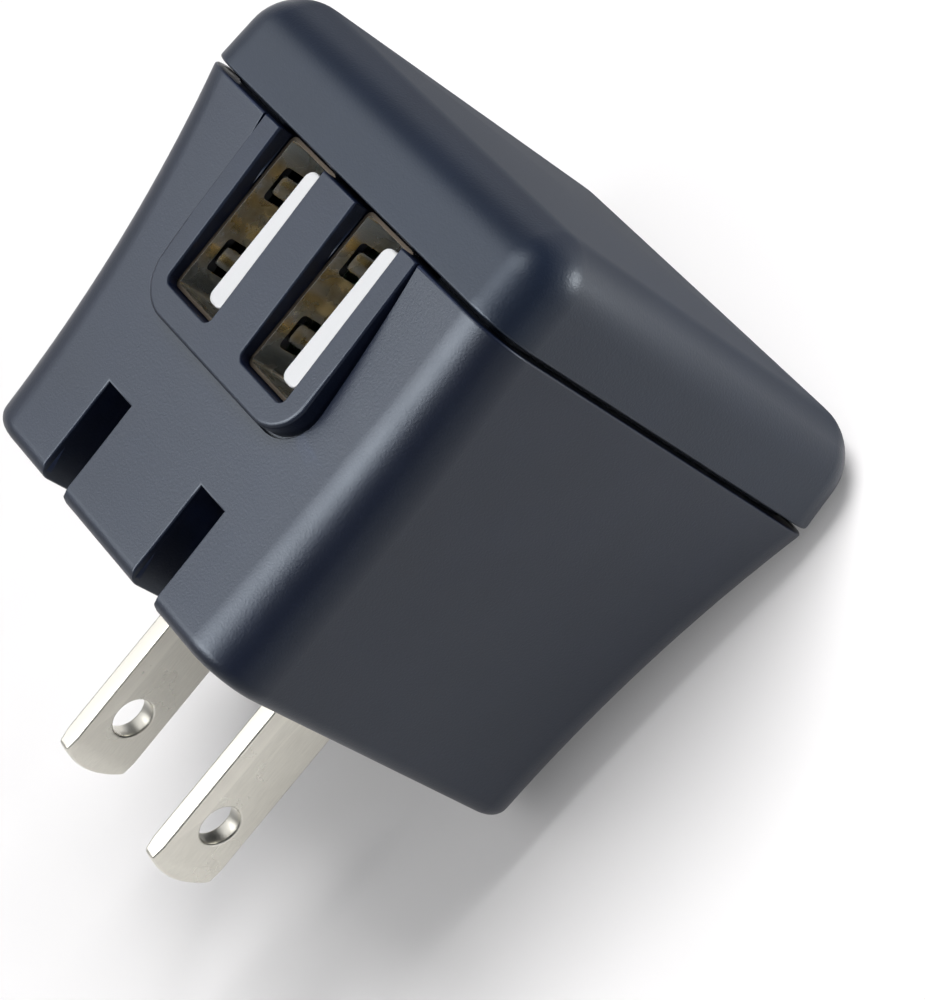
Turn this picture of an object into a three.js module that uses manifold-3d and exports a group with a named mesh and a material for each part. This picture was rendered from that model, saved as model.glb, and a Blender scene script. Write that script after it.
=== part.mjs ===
// USB wall charger with two charging ports and folding blades.
//
// Everything is drawn in the plug frame: x across the charger, y along the plug axis with the
// outlet face at y = 0 and the blades towards +y, z up towards the USB ports. The last group
// lifts and shifts that frame so that the origin is the bottom centre of the bounding box.

import * as THREE from 'three';
import { mergeVertices } from 'three/addons/utils/BufferGeometryUtils.js';
import Module from 'manifold-3d';

const wasm = await Module();
wasm.setup();

// ---------------------------------------------------------------- driving dimensions, mm

// Body: half sizes and corner radii at the outlet face and at the seam, and the flare between.
const OUTLET = { halfX: 17.0, halfZ: 16.98, corner: 4.5 };
const SEAM = { halfX: 18.92, halfZ: 19.64, corner: 3.8 };
const BODY_LENGTH = 28.8;
const FLARE_POWER_X = 1.6;
const FLARE_POWER_Z = 2.3;
const OUTLET_FILLET = 1.2;
const RIM_EASE = 0.22;
const WALL = 2.0;
const OUTLET_WALL = 1.8;
const GAP = 0.3;

// End cap.
const SEAM_GAP = 0.44;
const CAP_HEIGHT = 7.3;
const CAP_DRAFT = 0.045;
const CAP_EDGE_RADIUS = 4.0;
const CAP_CROWN = 0.5;
const CAP_ROOF = 2.2;
const LIP = { depth: 2.6, thick: 1.2, clearance: 0.25, root: 1.6 };

// Blades: the standard two-blade plug, and the rocker that folds them.
const BLADE = { pitch: 12.7, width: 6.35, thick: 1.52, length: 17.1, shoulder: 16.25, bevel: 0.22 };
const BLADE_HOLE = { radius: 1.6, fromFace: 12.0 };
const BLADE_TIP = { taperLength: 2.0, thin: 0.42 };
const PIVOT = { y: -3.5, z: -3.45 };
const SHAFT_RADIUS = 1.3;
const BEARING_RADIUS = 1.4;
const HUB = { radius: 2.7, inner: 0.86, outer: 1.3 };
const CAM = { half: 1.2, corner: 0.4, halfLength: 1.4 };

// Slots that let the blades fold, and the pocket walls round them.
const SLOT = { width: 3.0, height: 8.05, back: -7.2 };
const POCKET_WALL = 1.0;
const HATCH_FRONT = 1.5;

// USB panel and ports.
const PANEL = { halfX: 9.65, start: -13.92, seamZ: 19.68, footZ: 19.0, corner: 3.3 };
const PORT = { pitch: 9.8, halfX: 2.83, start: -16.0, corner: 0.6, lipBack: 18.35, room: 0.1 };
const SHELL = {
  halfX: 2.86, y0: -28.95, y1: -16.1, front: 18.2, depth: 13.3,
  sheet: 0.3, corner: 0.55,
};
const WINDOW = { spacing: 6.1, width: 2.65, front: 17.1, back: 11.5, tabWidth: 1.45, tabFront: 16.75 };
const TONGUE = { x0: -1.88, x1: -0.04, halfY: 5.55, front: 17.95, base: 3.2 };
const CONTACT = { width: 1.0, sheet: 0.25, places: [-3.5, -1.0, 1.0, 3.5] };

// Circuit boards.
const MAIN_BOARD = { halfX: 14.5, y0: -33.6, y1: -11.2, top: -13.2, thick: 1.0 };
const USB_BOARD = { halfX: 12.0, y0: -31.2, y1: -13.6, top: 4.5, thick: 1.0 };
const RAIL = { inner: 11.5, width: 2, back: -25, front: -6, foot: -16.4 };

const BODY_CURVE_STEPS = 6;
const CAP_TOP = -(BODY_LENGTH + SEAM_GAP + CAP_HEIGHT + CAP_CROWN);

// ---------------------------------------------------------------- colours and finishes

const LOOKS = {
  slate: { color: 0x4a4e58, roughness: 0.42, metalness: 0 },
  nickel: { color: 0xc9c6bd, roughness: 0.25, metalness: 1 },
  shellMetal: { color: 0xb59a6c, roughness: 0.3, metalness: 1 },
  gold: { color: 0xd8b25a, roughness: 0.25, metalness: 1 },
  white: { color: 0xeeeeea, roughness: 0.5, metalness: 0 },
  black: { color: 0x1b1b1d, roughness: 0.5, metalness: 0 },
  bronze: { color: 0xb87b3f, roughness: 0.35, metalness: 1 },
  steel: { color: 0xa9abad, roughness: 0.35, metalness: 1 },
  board: { color: 0x2b6b3b, roughness: 0.6, metalness: 0 },
  ferrite: { color: 0x35363a, roughness: 0.8, metalness: 0 },
  tape: { color: 0xe3b84a, roughness: 0.5, metalness: 0 },
  sleeve: { color: 0x20344f, roughness: 0.4, metalness: 0 },
  ceramic: { color: 0x3f77b5, roughness: 0.6, metalness: 0 },
  resistor: { color: 0x7aa37b, roughness: 0.7, metalness: 0 },
  film: { color: 0xd9d5c5, roughness: 0.6, metalness: 0 },
  redWire: { color: 0xa8322c, roughness: 0.6, metalness: 0 },
  blackWire: { color: 0x26262a, roughness: 0.6, metalness: 0 },
};

// ---------------------------------------------------------------- solids

function solid(geometry) {
  const bare = geometry.clone();
  bare.deleteAttribute('normal');
  bare.deleteAttribute('uv');
  const merged = mergeVertices(bare, 1e-4);
  return new wasm.Manifold(new wasm.Mesh({
    numProp: 3,
    vertProperties: new Float32Array(merged.attributes.position.array),
    triVerts: new Uint32Array(merged.index.array),
  }));
}

function surface(shape) {
  const mesh = shape.getMesh();
  const geometry = new THREE.BufferGeometry();
  geometry.setAttribute('position', new THREE.BufferAttribute(mesh.vertProperties, 3));
  geometry.setIndex(new THREE.BufferAttribute(mesh.triVerts, 1));
  geometry.computeVertexNormals();
  return geometry;
}

function join(...shapes) {
  return shapes.reduce((sum, shape) => sum.add(shape));
}

function box([x0, x1], [y0, y1], [z0, z1]) {
  const geometry = new THREE.BoxGeometry(x1 - x0, y1 - y0, z1 - z0);
  geometry.translate((x0 + x1) / 2, (y0 + y1) / 2, (z0 + z1) / 2);
  return solid(geometry);
}

const AXES = {
  x: new THREE.Vector3(1, 0, 0),
  y: new THREE.Vector3(0, 1, 0),
  z: new THREE.Vector3(0, 0, 1),
};

function rod(axis, radius, [start, end], place, sides = 24) {
  const geometry = new THREE.CylinderGeometry(radius, radius, end - start, sides);
  const turn = new THREE.Quaternion().setFromUnitVectors(AXES.y, AXES[axis]);
  geometry.applyQuaternion(turn);
  const centre = new THREE.Vector3(...place).addScaledVector(AXES[axis], (start + end) / 2);
  geometry.translate(centre.x, centre.y, centre.z);
  return solid(geometry);
}

// A flat outline pulled along x. The outline's own axes are y and z.
function prismX(outline, [start, end], bevel = 0) {
  const geometry = new THREE.ExtrudeGeometry(outline, {
    depth: end - start - 2 * bevel,
    curveSegments: 10,
    bevelEnabled: bevel > 0,
    bevelThickness: bevel,
    bevelSize: bevel,
    bevelOffset: -bevel,
    bevelSegments: 1,
  });
  geometry.translate(0, 0, start + bevel);
  geometry.applyMatrix4(new THREE.Matrix4().makeBasis(AXES.y, AXES.z, AXES.x));
  return solid(geometry);
}

// A flat outline in x and y pulled along z.
function prismZ(outline, [start, end]) {
  const geometry = new THREE.ExtrudeGeometry(outline, {
    depth: end - start,
    curveSegments: 6,
    bevelEnabled: false,
  });
  geometry.translate(0, 0, start);
  return solid(geometry);
}

// A flat outline whose own axes are z and x, pulled along y.
function prismY(outline, [start, end]) {
  const geometry = new THREE.ExtrudeGeometry(outline, {
    depth: end - start,
    curveSegments: 6,
    bevelEnabled: false,
  });
  geometry.translate(0, 0, start);
  geometry.applyMatrix4(new THREE.Matrix4().makeBasis(AXES.z, AXES.x, AXES.y));
  return solid(geometry);
}

function polygon(points) {
  return new THREE.Shape(points.map(([u, v]) => new THREE.Vector2(u, v)));
}

function roundedOutline([u0, u1], [v0, v1], radius) {
  const outline = new THREE.Shape();
  outline.moveTo(u0 + radius, v0);
  outline.lineTo(u1 - radius, v0);
  outline.absarc(u1 - radius, v0 + radius, radius, -Math.PI / 2, 0, false);
  outline.lineTo(u1, v1 - radius);
  outline.absarc(u1 - radius, v1 - radius, radius, 0, Math.PI / 2, false);
  outline.lineTo(u0 + radius, v1);
  outline.absarc(u0 + radius, v1 - radius, radius, Math.PI / 2, Math.PI, false);
  outline.lineTo(u0, v0 + radius);
  outline.absarc(u0 + radius, v0 + radius, radius, Math.PI, 1.5 * Math.PI, false);
  return outline;
}

// A strip of sheet metal that follows a bent centre line drawn in y and z, pulled along x.
function bentStrip(line, sheet, [start, end]) {
  const side = (sign) => line.map(([y, z], i) => {
    const [ya, za] = line[Math.max(i - 1, 0)];
    const [yb, zb] = line[Math.min(i + 1, line.length - 1)];
    const run = Math.hypot(yb - ya, zb - za);
    return [y - (sign * (zb - za) / run) * sheet / 2, z + (sign * (yb - ya) / run) * sheet / 2];
  });
  return prismX(polygon([...side(-1), ...side(1).reverse()]), [start, end]);
}

function wire(points, radius) {
  const path = new THREE.CatmullRomCurve3(points.map((p) => new THREE.Vector3(...p)));
  const section = new THREE.Shape();
  section.absarc(0, 0, radius, 0, 2 * Math.PI, false);
  const geometry = new THREE.ExtrudeGeometry(section, { steps: 14, curveSegments: 8, extrudePath: path });
  return solid(geometry);
}

// ---------------------------------------------------------------- lofted body shapes

// A rounded rectangle round the plug axis at height y, as a closed loop of points.
function ring(halfX, halfZ, corner, y) {
  const points = [];
  for (let quarter = 0; quarter < 4; quarter += 1) {
    const signZ = quarter === 0 || quarter === 3 ? 1 : -1;
    const signX = quarter < 2 ? 1 : -1;
    for (let step = 0; step <= BODY_CURVE_STEPS; step += 1) {
      const angle = (quarter + step / BODY_CURVE_STEPS) * Math.PI / 2;
      points.push([
        signX * (halfX - corner) + corner * Math.sin(angle),
        y,
        signZ * (halfZ - corner) + corner * Math.cos(angle),
      ]);
    }
  }
  return points;
}

// Skins a stack of loops, lowest y first, and closes both ends.
function loft(loops) {
  const positions = loops.flat(2);
  const count = loops[0].length;
  const index = [];
  for (let level = 0; level < loops.length - 1; level += 1) {
    for (let i = 0; i < count; i += 1) {
      const a = level * count + i;
      const b = level * count + (i + 1) % count;
      index.push(a, b, b + count, a, b + count, a + count);
    }
  }
  const ends = [[0, true], [loops.length - 1, false]];
  for (const [level, low] of ends) {
    const hub = positions.length / 3;
    positions.push(0, loops[level][0][1], 0);
    for (let i = 0; i < count; i += 1) {
      const a = level * count + i;
      const b = level * count + (i + 1) % count;
      index.push(hub, low ? b : a, low ? a : b);
    }
  }
  const geometry = new THREE.BufferGeometry();
  geometry.setAttribute('position', new THREE.Float32BufferAttribute(positions, 3));
  geometry.setIndex(index);
  return solid(geometry);
}

// The body's section at depth d behind the outlet face, pulled in by an inset.
function bodyRing(depth, inset) {
  const t = Math.min(depth / BODY_LENGTH, 1);
  const halfX = OUTLET.halfX + (SEAM.halfX - OUTLET.halfX) * t ** FLARE_POWER_X;
  const halfZ = OUTLET.halfZ + (SEAM.halfZ - OUTLET.halfZ) * t ** FLARE_POWER_Z;
  const corner = OUTLET.corner + (SEAM.corner - OUTLET.corner) * t;
  return ring(halfX - inset, halfZ - inset, Math.max(corner - inset, 0.5), -depth);
}

function steps(count) {
  return Array.from({ length: count + 1 }, (_, i) => i / count);
}

function bodyOuter() {
  const fillet = steps(4).map((s) => {
    const angle = s * Math.PI / 2;
    return bodyRing(OUTLET_FILLET * (1 - Math.cos(angle)), OUTLET_FILLET * (1 - Math.sin(angle)));
  });
  const flareEnd = BODY_LENGTH - RIM_EASE;
  const flare = steps(8).slice(1).map((s) => (
    bodyRing(OUTLET_FILLET + (flareEnd - OUTLET_FILLET) * s, 0)
  ));
  const rim = bodyRing(BODY_LENGTH, RIM_EASE);
  return loft([...fillet, ...flare, rim].reverse());
}

function bodyInner() {
  const loops = steps(5).map((s) => bodyRing(OUTLET_WALL + (BODY_LENGTH - OUTLET_WALL) * s, WALL));
  const beyond = ring(SEAM.halfX - WALL, SEAM.halfZ - WALL, SEAM.corner - WALL, -BODY_LENGTH - 1);
  return loft([...loops, beyond].reverse());
}

// ---------------------------------------------------------------- housing

const bladePlaces = { left: BLADE.pitch / 2, right: -BLADE.pitch / 2 };
const portPlaces = { left: PORT.pitch / 2, right: -PORT.pitch / 2 };

function panelBlock() {
  const reach = 4;
  const outline = roundedOutline(
    [-PANEL.halfX, PANEL.halfX],
    [-BODY_LENGTH - 2 * reach, PANEL.start],
    PANEL.corner,
  );
  const block = prismZ(outline, [SEAM.halfZ - WALL - 1.5, SEAM.halfZ + reach]);
  const slope = Math.atan2(PANEL.seamZ - PANEL.footZ, BODY_LENGTH + PANEL.start);
  const face = new THREE.BoxGeometry(60, 60, 30);
  face.translate(0, 0, -15);
  face.rotateX(-slope);
  face.translate(0, -BODY_LENGTH, PANEL.seamZ);
  const belowRim = box([-20, 20], [-BODY_LENGTH + 0.02, 0], [0, 40]);
  return block.intersect(solid(face)).intersect(belowRim);
}

// A port's mouth through the panel, open at the rim, and the wider room behind it for the shell.
function portNotch(x) {
  const notch = (halfX, start, depths) => prismZ(roundedOutline(
    [x - halfX, x + halfX],
    [-BODY_LENGTH - 5, start],
    PORT.corner,
  ), depths);
  const mouth = notch(PORT.halfX, PORT.start, [8, 30]);
  const room = notch(SHELL.halfX + PORT.room, SHELL.y1 + PORT.room, [8, PORT.lipBack]);
  return mouth.add(room);
}

function bladeSlot(x) {
  const across = [x - SLOT.width / 2, x + SLOT.width / 2];
  const slot = box(across, [-SLOT.height, 2], [SLOT.back, 30]);
  const hatch = box(across, [-SLOT.height - 3, -SLOT.height], [SLOT.back, HATCH_FRONT]);
  return slot.add(hatch);
}

function pocket(x) {
  const reach = SLOT.width / 2 + POCKET_WALL;
  return box(
    [x - reach, x + reach],
    [-SLOT.height - POCKET_WALL, -OUTLET_WALL / 2],
    [SLOT.back - POCKET_WALL, OUTLET.halfZ - WALL / 2],
  );
}

function shaftWay() {
  const half = BLADE.pitch / 2 + SLOT.width / 2 + POCKET_WALL + 0.1;
  const round = rod('x', BEARING_RADIUS, [-half, half], [0, PIVOT.y, PIVOT.z], 32);
  const entry = box(
    [-half, half],
    [-SLOT.height - POCKET_WALL - 1, PIVOT.y],
    [PIVOT.z - BEARING_RADIUS, PIVOT.z + BEARING_RADIUS],
  );
  return round.add(entry);
}

function boardRail(side) {
  const { inner, width, back, front, foot } = RAIL;
  const across = side > 0 ? [inner, inner + width] : [-inner - width, -inner];
  return box(across, [back, front], [foot, MAIN_BOARD.top - MAIN_BOARD.thick - GAP]);
}

function mainHousing() {
  const shell = bodyOuter().subtract(bodyInner());
  const built = join(
    shell,
    panelBlock(),
    pocket(bladePlaces.left),
    pocket(bladePlaces.right),
    boardRail(1),
    boardRail(-1),
  );
  const cuts = join(
    portNotch(portPlaces.left),
    portNotch(portPlaces.right),
    bladeSlot(bladePlaces.left),
    bladeSlot(bladePlaces.right),
    shaftWay(),
  );
  return built.subtract(cuts);
}

// ---------------------------------------------------------------- end cap

function capRing(height, inset) {
  const draft = CAP_DRAFT * height;
  return ring(
    SEAM.halfX - draft - inset,
    SEAM.halfZ - draft - inset,
    Math.max(SEAM.corner - inset, 0.6),
    -(BODY_LENGTH + SEAM_GAP + height),
  );
}

function capOuter() {
  const straight = CAP_HEIGHT - CAP_EDGE_RADIUS;
  const band = [capRing(0, RIM_EASE), capRing(RIM_EASE, 0), capRing(straight, 0)];
  const edge = steps(6).slice(1).map((s) => {
    const angle = s * Math.PI / 2;
    return capRing(
      straight + CAP_EDGE_RADIUS * Math.sin(angle),
      CAP_EDGE_RADIUS * (1 - Math.cos(angle)),
    );
  });
  const shoulder = edge[edge.length - 1];
  const crown = [0.75, 0.5, 0.25].map((s) => shoulder.map(([x, y, z]) => (
    [x * s, y - CAP_CROWN * (1 - s * s), z * s]
  )));
  return loft([...band, ...edge, ...crown].reverse());
}

// A straight-sided plug of the body's inner shape, from inside the rim up into the cap.
function throat(depth, inset, height) {
  const rim = BODY_LENGTH;
  return loft([bodyRing(rim - depth, inset), bodyRing(rim, inset), bodyRing(rim + height, inset)].reverse());
}

function capHollow() {
  const roof = CAP_HEIGHT - CAP_ROOF;
  const wide = loft([
    capRing(LIP.root, WALL),
    capRing(roof - 1, WALL),
    capRing(roof, WALL + 1.2),
  ].reverse());
  return wide.add(throat(LIP.depth + 1, WALL + LIP.clearance + LIP.thick, SEAM_GAP + roof));
}

function endCap() {
  const lip = throat(LIP.depth, WALL + LIP.clearance, SEAM_GAP + LIP.root);
  const relief = PANEL.halfX + GAP;
  const portRelief = box(
    [-relief, relief],
    [-(BODY_LENGTH + SEAM_GAP), -BODY_LENGTH + LIP.depth + 1],
    [SEAM.halfZ - 8, SEAM.halfZ + 1],
  );
  return capOuter().add(lip).subtract(capHollow()).subtract(portRelief);
}

// ---------------------------------------------------------------- blades and rocker

function bladeOutline() {
  const { width, length, shoulder } = BLADE;
  const half = width / 2;
  const sag = length - shoulder;
  const noseRadius = (half * half + sag * sag) / (2 * sag);
  const sweep = Math.asin(half / noseRadius);
  const outline = new THREE.Shape();
  outline.absarc(PIVOT.y, PIVOT.z, half, Math.PI / 2, 1.5 * Math.PI, false);
  outline.lineTo(shoulder, PIVOT.z - half);
  outline.absarc(length - noseRadius, PIVOT.z, noseRadius, -sweep, sweep, false);
  outline.lineTo(PIVOT.y, PIVOT.z + half);
  const holes = [[BLADE_HOLE.fromFace, BLADE_HOLE.radius], [PIVOT.y, SHAFT_RADIUS + 0.25]];
  for (const [y, radius] of holes) {
    const hole = new THREE.Path();
    hole.absarc(y, PIVOT.z, radius, 0, 2 * Math.PI, true);
    outline.holes.push(hole);
  }
  return outline;
}

function blade(x) {
  const half = BLADE.thick / 2;
  const plate = prismX(bladeOutline(), [x - half, x + half], BLADE.bevel);
  const taperStart = BLADE.length - BLADE_TIP.taperLength;
  const wedge = (sign) => prismZ(polygon([
    [x + sign * (half + 0.01), taperStart],
    [x + sign * BLADE_TIP.thin, BLADE.length + 0.1],
    [x + sign * (half + 2), BLADE.length + 0.1],
    [x + sign * (half + 2), taperStart],
  ]), [PIVOT.z - BLADE.width, PIVOT.z + BLADE.width]);
  return plate.subtract(wedge(1)).subtract(wedge(-1));
}

function rocker() {
  const end = BLADE.pitch / 2 + SLOT.width / 2 + POCKET_WALL + GAP;
  const axis = [0, PIVOT.y, PIVOT.z];
  const parts = [rod('x', SHAFT_RADIUS, [-end, end], axis, 32)];
  for (const x of Object.values(bladePlaces)) {
    parts.push(rod('x', HUB.radius, [x - HUB.outer, x - HUB.inner], axis, 32));
    parts.push(rod('x', HUB.radius, [x + HUB.inner, x + HUB.outer], axis, 32));
  }
  const cam = roundedOutline(
    [PIVOT.y - CAM.half, PIVOT.y + CAM.half],
    [PIVOT.z - CAM.half, PIVOT.z + CAM.half],
    CAM.corner,
  );
  parts.push(prismX(cam, [-CAM.halfLength, CAM.halfLength]));
  return join(...parts);
}

// ---------------------------------------------------------------- parts behind the blades

const RETAINER = { y0: -10.5, y1: -9.25, z0: -8.4, z1: 2.4 };
const CONTACT_STRIP = { sheet: 0.35, halfWidth: 1.0 };
const DETENT_STRIP = { sheet: 0.3, halfWidth: 1.2 };

function rockerRetainer() {
  const wallCentre = SLOT.width / 2 + POCKET_WALL / 2;
  const half = BLADE.pitch / 2 + SLOT.width / 2 + POCKET_WALL;
  const plate = box([-half, half], [RETAINER.y0, RETAINER.y1], [RETAINER.z0, RETAINER.z1]);
  const fingers = [];
  for (const x of Object.values(bladePlaces)) {
    for (const side of [-1, 1]) {
      const centre = x + side * wallCentre;
      fingers.push(box(
        [centre - 0.4, centre + 0.4],
        [RETAINER.y0 + 0.5, PIVOT.y],
        [PIVOT.z - BEARING_RADIUS + 0.1, PIVOT.z + BEARING_RADIUS - 0.1],
      ));
    }
  }
  const shaftRoom = rod('x', BEARING_RADIUS, [-half - 1, half + 1], [0, PIVOT.y, PIVOT.z], 32);
  const springSlits = Object.values(bladePlaces).map((x) => (
    box([x - 1.3, x + 1.3], [RETAINER.y0 - 1, RETAINER.y1 + 1], [-7.0, -5.9])
  ));
  return join(plate, ...fingers).subtract(join(shaftRoom, ...springSlits));
}

function bladeContact(x) {
  const line = [
    [-8.6, -0.6], [-7.5, -1.6], [-7.2, -3.45], [-7.5, -5.3],
    [-8.3, -6.2], [-9.0, -6.45], [-12.2, -6.45],
  ];
  return bentStrip(line, CONTACT_STRIP.sheet, [x - CONTACT_STRIP.halfWidth, x + CONTACT_STRIP.halfWidth]);
}

function detentSpring() {
  const line = [
    [-8.9, -8.0], [-8.3, -7.4], [-5.7, -5.0], [-5.45, -3.45],
    [-5.7, -1.9], [-8.3, 0.5], [-8.9, 1.1],
  ];
  return bentStrip(line, DETENT_STRIP.sheet, [-DETENT_STRIP.halfWidth, DETENT_STRIP.halfWidth]);
}

// ---------------------------------------------------------------- USB ports

function usbShell(x) {
  const back = SHELL.front - SHELL.depth;
  const across = [x - SHELL.halfX, x + SHELL.halfX];
  const outer = prismZ(roundedOutline(across, [SHELL.y0, SHELL.y1], SHELL.corner), [back, SHELL.front]);
  const inner = prismZ(roundedOutline(
    [across[0] + SHELL.sheet, across[1] - SHELL.sheet],
    [SHELL.y0 + SHELL.sheet, SHELL.y1 - SHELL.sheet],
    SHELL.corner - SHELL.sheet,
  ), [back + SHELL.sheet, SHELL.front + 1]);
  let tube = outer.subtract(inner);
  const middle = (SHELL.y0 + SHELL.y1) / 2;
  for (const side of [-1, 1]) {
    const wall = x + side * (SHELL.halfX - SHELL.sheet / 2);
    for (const y of [middle - WINDOW.spacing / 2, middle + WINDOW.spacing / 2]) {
      const half = WINDOW.tabWidth / 2;
      tube = tube.subtract(box(
        [wall - 0.4, wall + 0.4],
        [y - WINDOW.width / 2, y + WINDOW.width / 2],
        [WINDOW.back, WINDOW.front],
      ));
      const tab = box(
        [wall - SHELL.sheet / 2, wall + SHELL.sheet / 2],
        [y - half, y + half],
        [WINDOW.back - 0.2, WINDOW.tabFront],
      );
      const bump = rod('y', 0.34, [-half, half], [wall - side * 0.12, y, WINDOW.tabFront - 1.1], 12);
      tube = join(tube, tab, bump);
    }
  }
  return tube;
}

function usbTongue(x) {
  const middle = (SHELL.y0 + SHELL.y1) / 2;
  const back = SHELL.front - SHELL.depth + SHELL.sheet;
  const room = 0.15;
  const blade = prismZ(roundedOutline(
    [x + TONGUE.x0, x + TONGUE.x1],
    [middle - TONGUE.halfY, middle + TONGUE.halfY],
    0.6,
  ), [back + room, TONGUE.front]);
  const base = box(
    [x - SHELL.halfX + SHELL.sheet + room, x + SHELL.halfX - SHELL.sheet - room],
    [SHELL.y0 + SHELL.sheet + room, SHELL.y1 - SHELL.sheet - room],
    [back + room, back + room + TONGUE.base],
  );
  const ways = CONTACT.places.map((y) => box(
    [x + TONGUE.x1 + 0.02, x + TONGUE.x1 + 0.75],
    [middle + y - CONTACT.width / 2 - 0.12, middle + y + CONTACT.width / 2 + 0.12],
    [back, back + TONGUE.base + 1],
  ));
  return join(blade, base).subtract(join(...ways));
}

function usbContact(x, offset) {
  const middle = (SHELL.y0 + SHELL.y1) / 2;
  const near = x + TONGUE.x1 + 0.12;
  const far = near + CONTACT.sheet;
  const back = SHELL.front - SHELL.depth + SHELL.sheet + 0.15;
  const outline = polygon([
    [back, near], [13.4, near], [14.4, near + 0.35], [15.6, near + 0.35], [16.6, near],
    [16.9, near], [16.9, far], [16.6, far], [15.6, far + 0.35], [14.4, far + 0.35],
    [13.4, far], [back, far],
  ]);
  const along = middle + offset;
  return prismY(outline, [along - CONTACT.width / 2, along + CONTACT.width / 2]);
}

// ---------------------------------------------------------------- boards and parts on them

function mainBoard() {
  const { halfX, y0, y1, top, thick } = MAIN_BOARD;
  return prismZ(roundedOutline([-halfX, halfX], [y0, y1], 1.2), [top - thick, top]);
}

function usbBoard() {
  const { halfX, y0, y1, top, thick } = USB_BOARD;
  return prismZ(roundedOutline([-halfX, halfX], [y0, y1], 1.0), [top - thick, top]);
}

const onBoard = MAIN_BOARD.top + GAP;
const CORE = {
  y: -26.3, z: -5.6, halfX: 8.0, halfY: 6.4, halfZ: 4.6,
  yoke: 2.2, outerLeg: 1.8, centreLeg: 2.0,
};

// One E-shaped half of the transformer core, with its legs towards the middle.
function coreHalf(side) {
  const { y, z, halfX, halfY, halfZ, yoke, outerLeg, centreLeg } = CORE;
  const span = ([a, b]) => (side > 0 ? [a, b] : [-b, -a]);
  const legs = span([0.15, halfX - yoke + 0.5]);
  return join(
    box(span([halfX - yoke, halfX]), [y - halfY, y + halfY], [z - halfZ, z + halfZ]),
    box(legs, [y - centreLeg, y + centreLeg], [z - centreLeg, z + centreLeg]),
    box(legs, [y - halfY, y - halfY + outerLeg], [z - halfZ, z + halfZ]),
    box(legs, [y + halfY - outerLeg, y + halfY], [z - halfZ, z + halfZ]),
  );
}

function bobbin() {
  const { y, z, halfX, yoke, centreLeg } = CORE;
  const end = halfX - yoke - GAP;
  const bore = centreLeg + 0.2;
  const tube = bore + 0.5;
  const spool = box([-end, end], [y - tube, y + tube], [z - tube, z + tube]);
  const flange = (x0, x1) => box([x0, x1], [y - 4.2, y + 4.2], [z - 6.6, z + 6.6]);
  const hole = box([-end - 1, end + 1], [y - bore, y + bore], [z - bore, z + bore]);
  return join(spool, flange(-end, -end + 0.7), flange(end - 0.7, end)).subtract(hole);
}

function winding() {
  const { y, z, halfX, yoke, centreLeg } = CORE;
  const end = halfX - yoke - GAP - 0.7 - 0.15;
  const inner = centreLeg + 0.85;
  const outer = roundedOutline([y - 4.1, y + 4.1], [z - 6.0, z + 6.0], 1.4);
  const hole = box([-end - 1, end + 1], [y - inner, y + inner], [z - inner, z + inner]);
  return prismX(outer, [-end, end]).subtract(hole);
}

// A standing electrolytic can with its crimped neck near the base.
function capacitorCan(x, y, radius, height) {
  const neck = 1.4;
  const profile = [
    [0, 0], [radius - 0.3, 0], [radius, 0.3], [radius, neck - 0.4], [radius - 0.45, neck],
    [radius, neck + 0.4], [radius, height - 0.5], [radius - 0.5, height], [0, height],
  ];
  const geometry = new THREE.LatheGeometry(profile.map(([r, h]) => new THREE.Vector2(r, h)), 20);
  geometry.rotateX(Math.PI / 2);
  geometry.translate(x, y, onBoard);
  return solid(geometry);
}

function leads(centres, top) {
  return centres.map(([x, y]) => rod('z', 0.3, [onBoard, top], [x, y, 0], 8));
}

function fusibleResistor() {
  const y = -12.9;
  const z = -10.9;
  const body = rod('x', 1.5, [-3.6, 3.6], [0, y, z], 16);
  const stubs = rod('x', 0.3, [-4.3, 4.3], [0, y, z], 8);
  return join(body, stubs, ...leads([[-4.1, y], [4.1, y]], z));
}

function filterChoke() {
  const place = [2.6, -17.0, 0];
  return join(
    rod('z', 2.2, [onBoard, onBoard + 1.1], place, 20),
    rod('z', 1.7, [onBoard + 0.6, onBoard + 6], place, 20),
    rod('z', 2.2, [onBoard + 5.5, onBoard + 6.6], place, 20),
  );
}

function safetyCapacitor() {
  const disc = rod('x', 3.0, [-1.3, 1.3], [-11.2, -23.2, -8.3], 20);
  return join(disc, ...leads([[-11.2, -25.2], [-11.2, -21.2]], -8.3));
}

function chip([x, y], [w, l, h], base) {
  return box([x - w / 2, x + w / 2], [y - l / 2, y + l / 2], [base, base + h]);
}

const underMainBoard = MAIN_BOARD.top - MAIN_BOARD.thick - GAP;
const underUsbBoard = USB_BOARD.top - USB_BOARD.thick - GAP;

// ---------------------------------------------------------------- the assembly

const plug = new THREE.Group();

function place(name, shape, look) {
  const mesh = new THREE.Mesh(surface(shape), new THREE.MeshStandardMaterial(LOOKS[look]));
  mesh.name = name;
  plug.add(mesh);
}

place('main_housing', mainHousing(), 'slate');
place('end_cap', endCap(), 'slate');
place('blade_rocker', rocker(), 'black');
place('rocker_retainer', rockerRetainer(), 'black');
place('detent_spring', detentSpring(), 'steel');

for (const [side, x] of Object.entries(bladePlaces)) {
  place(`blade_${side}`, blade(x), 'nickel');
  place(`blade_contact_${side}`, bladeContact(x), 'bronze');
}

for (const [side, x] of Object.entries(portPlaces)) {
  place(`usb_shell_${side}`, usbShell(x), 'shellMetal');
  place(`usb_tongue_${side}`, usbTongue(x), 'white');
  CONTACT.places.forEach((offset, i) => {
    place(`usb_contact_${side}_${i + 1}`, usbContact(x, offset), 'gold');
  });
}

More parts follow.
